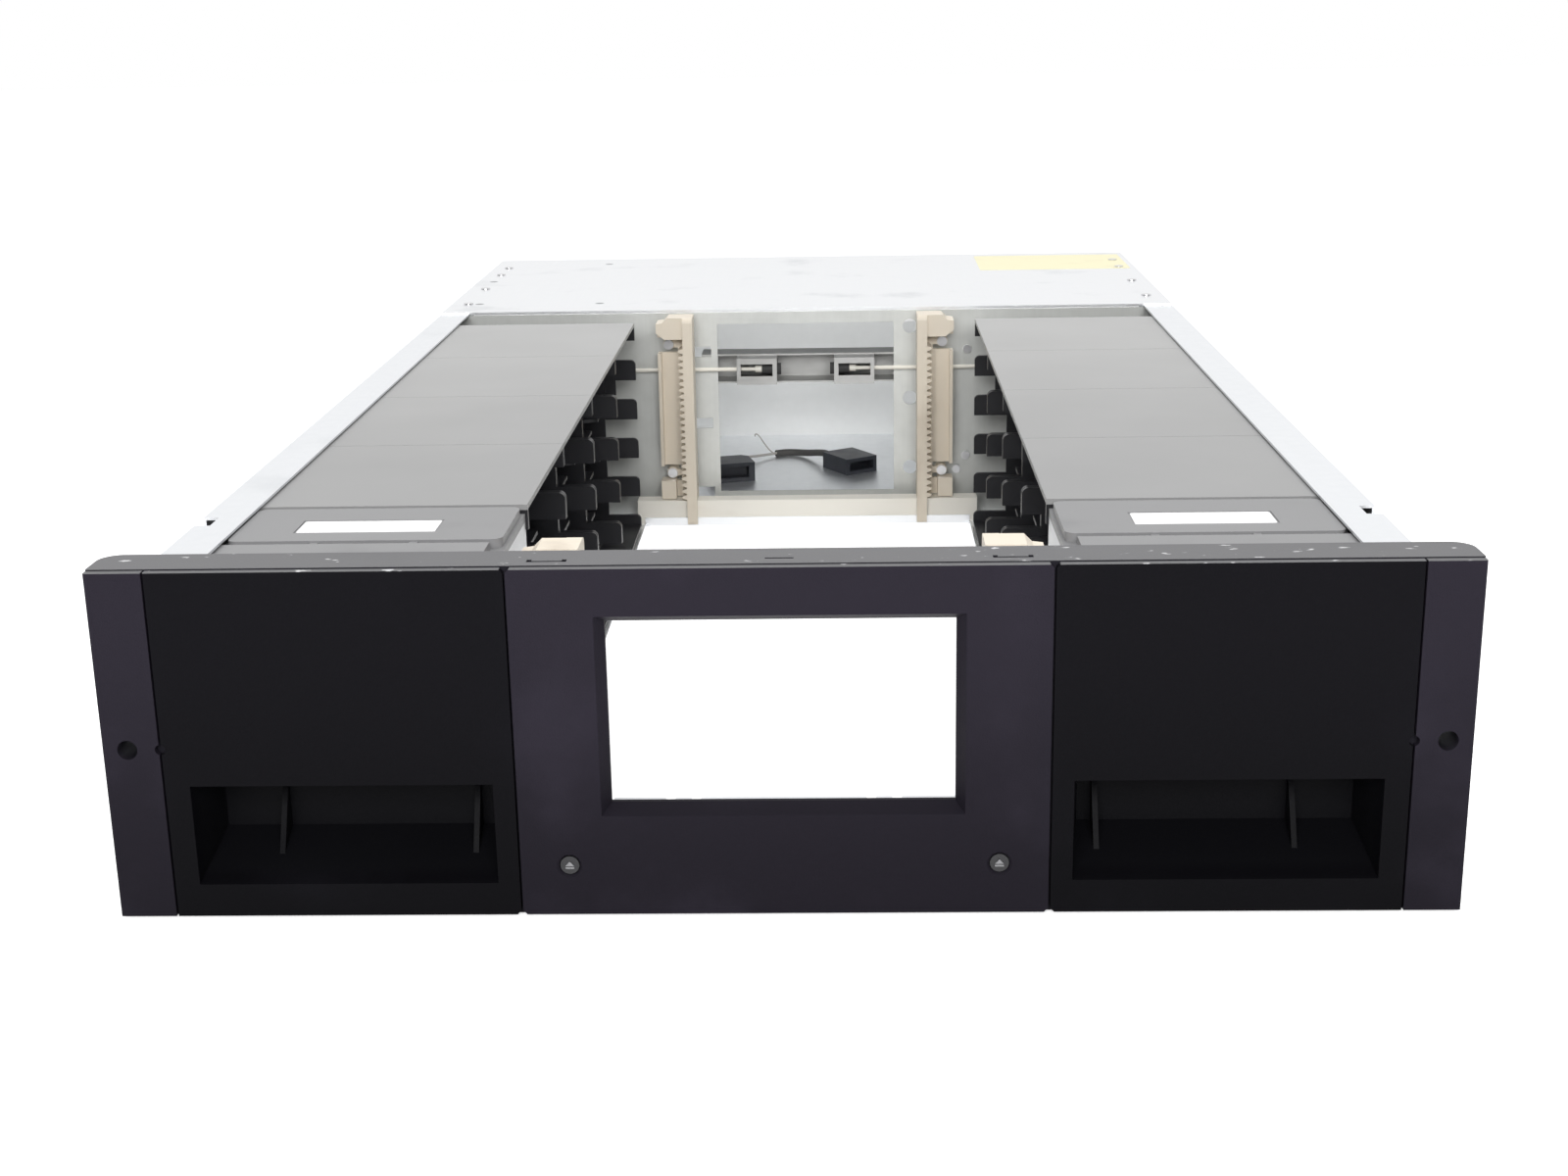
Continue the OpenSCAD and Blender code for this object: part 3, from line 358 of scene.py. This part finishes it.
column_black = Finish("column_black", (0.011, 0.011, 0.014), 0.36)
column_black.set("Roughness", column_black.noise(0.02, 3) * 0.2 + 0.28)
column_black.relief(column_black.noise(0.0008, 2), 0.00004)
column_black.dress(
    *[f"magazine_{s}_column_{i}" for s in ("left", "right") for i in (1, 2, 3, 4)],
    *[f"magazine_{s}_{p}" for s in ("left", "right") for p in ("tray", "lug")],
)
roof_grey = Finish("roof_grey", (0.42, 0.42, 0.415), 0.34)
roof_smudge = roof_grey.noise(0.06, 4).step(0.55, 0.8)
# Painted reflection: the roofs are painted lighter towards the back, from 0.27 near the front to 0.38 far back.
roof_reflection = roof_grey.along(1).step(front_y + 0.10, front_y + 0.55)
roof_base = roof_grey.blend(roof_reflection, (0.27, 0.27, 0.27), (0.38, 0.38, 0.375))
roof_grey.set("Base Color", roof_grey.blend(roof_smudge * 0.5, roof_base, (0.30, 0.30, 0.295)))
roof_grey.set("Roughness", roof_grey.noise(0.07, 4) * 0.14 + 0.27)
roof_grey.relief(roof_grey.noise(0.0009, 2), 0.00001)
roof_grey.dress("magazine_left_roof", "magazine_right_roof")
lid_grey = Finish("lid_grey", (0.34, 0.34, 0.345), 0.4)
lid_grey.set("Base Color", lid_grey.blend(lid_grey.noise(0.05, 4).step(0.5, 0.8), (0.23, 0.23, 0.235), (0.18, 0.18, 0.185)))
lid_grey.relief(lid_grey.noise(0.0009, 2), 0.00002)
lid_grey.dress("magazine_left_nose_cover", "magazine_right_nose_cover")

# ---------------------------------------------------------------- blank labels
# A blank white label lies in the recess of each nose cover, and a blank pale yellow sticker
# lies on the rear cover. Each is a sheet of paper with round corners.


def paper(name, body, x, y, z, w, l, thickness, corner, colour):
    """A thin sheet with its middle at x and y, lying at height z on a body."""
    sheet = bmesh.new()
    bmesh.ops.create_grid(sheet, x_segments=1, y_segments=1, size=0.5)
    bmesh.ops.scale(sheet, verts=sheet.verts, vec=(w, l, 1))
    bmesh.ops.bevel(sheet, geom=list(sheet.verts), affect="VERTICES", offset=corner, segments=4, profile=0.5)
    raised = bmesh.ops.extrude_face_region(sheet, geom=list(sheet.faces))["geom"]
    bmesh.ops.translate(sheet, verts=[v for v in raised if isinstance(v, bmesh.types.BMVert)], vec=(0, 0, thickness))
    bmesh.ops.translate(sheet, verts=sheet.verts, vec=(x, y, z))
    bmesh.ops.recalc_face_normals(sheet, faces=sheet.faces)
    data = bpy.data.meshes.new(name)
    sheet.to_mesh(data)
    sheet.free()
    thing = bpy.data.objects.new(name, data)
    bpy.context.scene.collection.objects.link(thing)
    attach(thing, body)
    finish = Finish(name + "_paper", colour, 0.55, Specular_IOR_Level=0.3)
    faded = tuple(c * 0.93 for c in colour)
    finish.set("Base Color", finish.blend(finish.noise(0.02, 3).step(0.5, 0.8), colour, faded))
    finish.relief(finish.noise(0.001, 2), 0.00001)
    finish.dress(thing)
    return thing


label_w, label_l = 0.0525, 0.0168
label_y = front_y + 0.072
for side, label_x in (("left", -0.15695), ("right", 0.15695)):
    recess_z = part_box(f"magazine_{side}_nose_cover")[1][2] - 0.0004
    paper(
        f"magazine_{side}_label", f"magazine_{side}", label_x, label_y, recess_z,
        label_w, label_l, 0.00025, 0.001, (0.93, 0.93, 0.93),
    )
paper("cover_sticker", "root", 0.168, front_y + 0.7735, cover_top, 0.102, 0.073, 0.00012, 0.002, (0.95, 0.90, 0.62))

# ---------------------------------------------------------------- lift racks and rail
# Cream acetal mouldings, a little yellowed, with grey grease rubbed into the teeth.

rack_cream = Finish("rack_cream", (0.72, 0.64, 0.52), 0.42)
grime = rack_cream.noise(0.03, 5, (1, 1, 2)).step(0.5, 0.78)
rack_cream.set("Base Color", rack_cream.blend(grime, (0.78, 0.70, 0.58), (0.55, 0.47, 0.37)))
rack_cream.relief(rack_cream.noise(0.0015, 2), 0.00004)
rack_cream.dress("rack_rear_left", "rack_rear_right", "rack_front_left", "rack_front_right")
rail_cream = Finish("rail_cream", (0.80, 0.75, 0.67), 0.38)
rail_cream.set(
    "Base Color",
    rail_cream.blend(rail_cream.noise(0.04, 4, (3, 1, 1)).step(0.56, 0.8), (0.90, 0.87, 0.79), (0.68, 0.61, 0.52)),
)
rail_cream.dress("tie_rail")

# ---------------------------------------------------------------- lock rods, glides and boards
# Cream rods run from the two solenoids to the magazines. White strips guide the magazines,
# and a small green board stands behind each button.

rod_cream = Finish("rod_cream", (0.86, 0.83, 0.75), 0.35)
rod_cream.relief(rod_cream.noise(0.002), 0.00002)
rod_cream.dress("release_rod_left", "release_rod_right")
glide_white = Finish("glide_white", (0.80, 0.79, 0.75), 0.4)
glide_white.relief(glide_white.noise(0.002), 0.00002)
glide_white.dress("glides", "side_guides")
board_green = Finish("board_green", (0.015, 0.10, 0.04), 0.3)
board_green.set(
    "Base Color", board_green.blend(board_green.noise(0.003, 1).step(0.5, 0.55), (0.012, 0.09, 0.035), (0.03, 0.16, 0.06))
)
board_green.dress("switch_boards")
coil_black = Finish("coil_black", (0.03, 0.03, 0.03), 0.5)
coil_black.relief(coil_black.noise(0.0005, 1, (0.3, 4, 4)), 0.0002)
coil_black.dress("solenoid_left", "solenoid_right")
screw_steel = Finish("screw_steel", (0.7, 0.7, 0.71), 0.28, 1.0)
screw_steel.relief(screw_steel.noise(0.0008), 0.00003)
screw_steel.dress("rack_screws", "bulkhead_screws", "cover_screws")
screw_black = Finish("screw_black", (0.02, 0.02, 0.022), 0.35)
screw_black.relief(screw_black.noise(0.0008), 0.00003)
screw_black.dress("blank_screws")

# ---------------------------------------------------------------- floor, backdrop and light
# A white table in a bright room. Seen straight or in a reflection, the room behind the object
# is plain white; the side the camera stands on is darker, as in a studio.

floor_mesh = bmesh.new()
bmesh.ops.create_grid(floor_mesh, x_segments=1, y_segments=1, size=6)
floor_data = bpy.data.meshes.new("floor")
floor_mesh.to_mesh(floor_data)
floor_mesh.free()
floor = bpy.data.objects.new("floor", floor_data)
floor.location.z = cad_box[0][2] - 0.0005
bpy.context.scene.collection.objects.link(floor)
floor_white = bpy.data.materials.new("floor_white")
floor_white.use_nodes = True
tree = floor_white.node_tree
tree.nodes.clear()
paint = tree.nodes.new("ShaderNodeBsdfDiffuse")
paint.inputs["Color"].default_value = (0.82, 0.82, 0.82, 1)
glow = tree.nodes.new("ShaderNodeEmission")
seen = tree.nodes.new("ShaderNodeLightPath")
either = tree.nodes.new("ShaderNodeMath")
either.operation = "MAXIMUM"
tree.links.new(seen.outputs["Is Camera Ray"], either.inputs[0])
tree.links.new(seen.outputs["Is Glossy Ray"], either.inputs[1])
strength = tree.nodes.new("ShaderNodeMath")
strength.operation = "MULTIPLY"
strength.inputs[1].default_value = 0.62
tree.links.new(either.outputs[0], strength.inputs[0])
tree.links.new(strength.outputs[0], glow.inputs["Strength"])
both = tree.nodes.new("ShaderNodeAddShader")
tree.links.new(paint.outputs[0], both.inputs[0])
tree.links.new(glow.outputs[0], both.inputs[1])
surface = tree.nodes.new("ShaderNodeOutputMaterial")
tree.links.new(both.outputs[0], surface.inputs["Surface"])
floor_data.materials.append(floor_white)

world = bpy.data.worlds.new("room")
bpy.context.scene.world = world
world.use_nodes = True
tree = world.node_tree
sky = tree.nodes["Background"]
way = tree.nodes.new("ShaderNodeTexCoord")
parts = tree.nodes.new("ShaderNodeSeparateXYZ")
tree.links.new(way.outputs["Generated"], parts.inputs[0])
behind = tree.nodes.new("ShaderNodeMapRange")
behind.interpolation_type = "SMOOTHSTEP"
behind.inputs["From Min"].default_value = -0.75
behind.inputs["From Max"].default_value = 0.25
behind.inputs["To Min"].default_value = 0.25
behind.inputs["To Max"].default_value = 1.0
tree.links.new(parts.outputs["Y"], behind.inputs["Value"])
seen = tree.nodes.new("ShaderNodeLightPath")
level = tree.nodes.new("ShaderNodeMath")
level.operation = "MAXIMUM"
tree.links.new(behind.outputs["Result"], level.inputs[0])
tree.links.new(seen.outputs["Is Camera Ray"], level.inputs[1])
tree.links.new(level.outputs[0], sky.inputs["Strength"])
sky.inputs["Color"].default_value = (1, 1, 1, 1)


def softbox(name, at, toward, size, power):
    light = bpy.data.lights.new(name, "AREA")
    light.shape = "RECTANGLE"
    light.size, light.size_y = size
    light.energy = power
    lamp = bpy.data.objects.new(name, light)
    lamp.location = at
    lamp.rotation_euler = (Vector(toward) - Vector(at)).to_track_quat("-Z", "Y").to_euler()
    bpy.context.scene.collection.objects.link(lamp)


softbox("overhead_softbox", (0.1, 0.1, 1.7), (0, 0, 0.05), (1.8, 1.8), 7)
softbox("front_softbox", (0.0, -1.7, 0.78), (0, 0.35, 0.05), (1.2, 0.5), 23)

softbox("bay_softbox", (0, bay_y + 0.05, 0.106), (0, 0.41, 0.075), (0.4, 0.03), 0.15)

bpy.context.scene.view_settings.view_transform = "Standard"
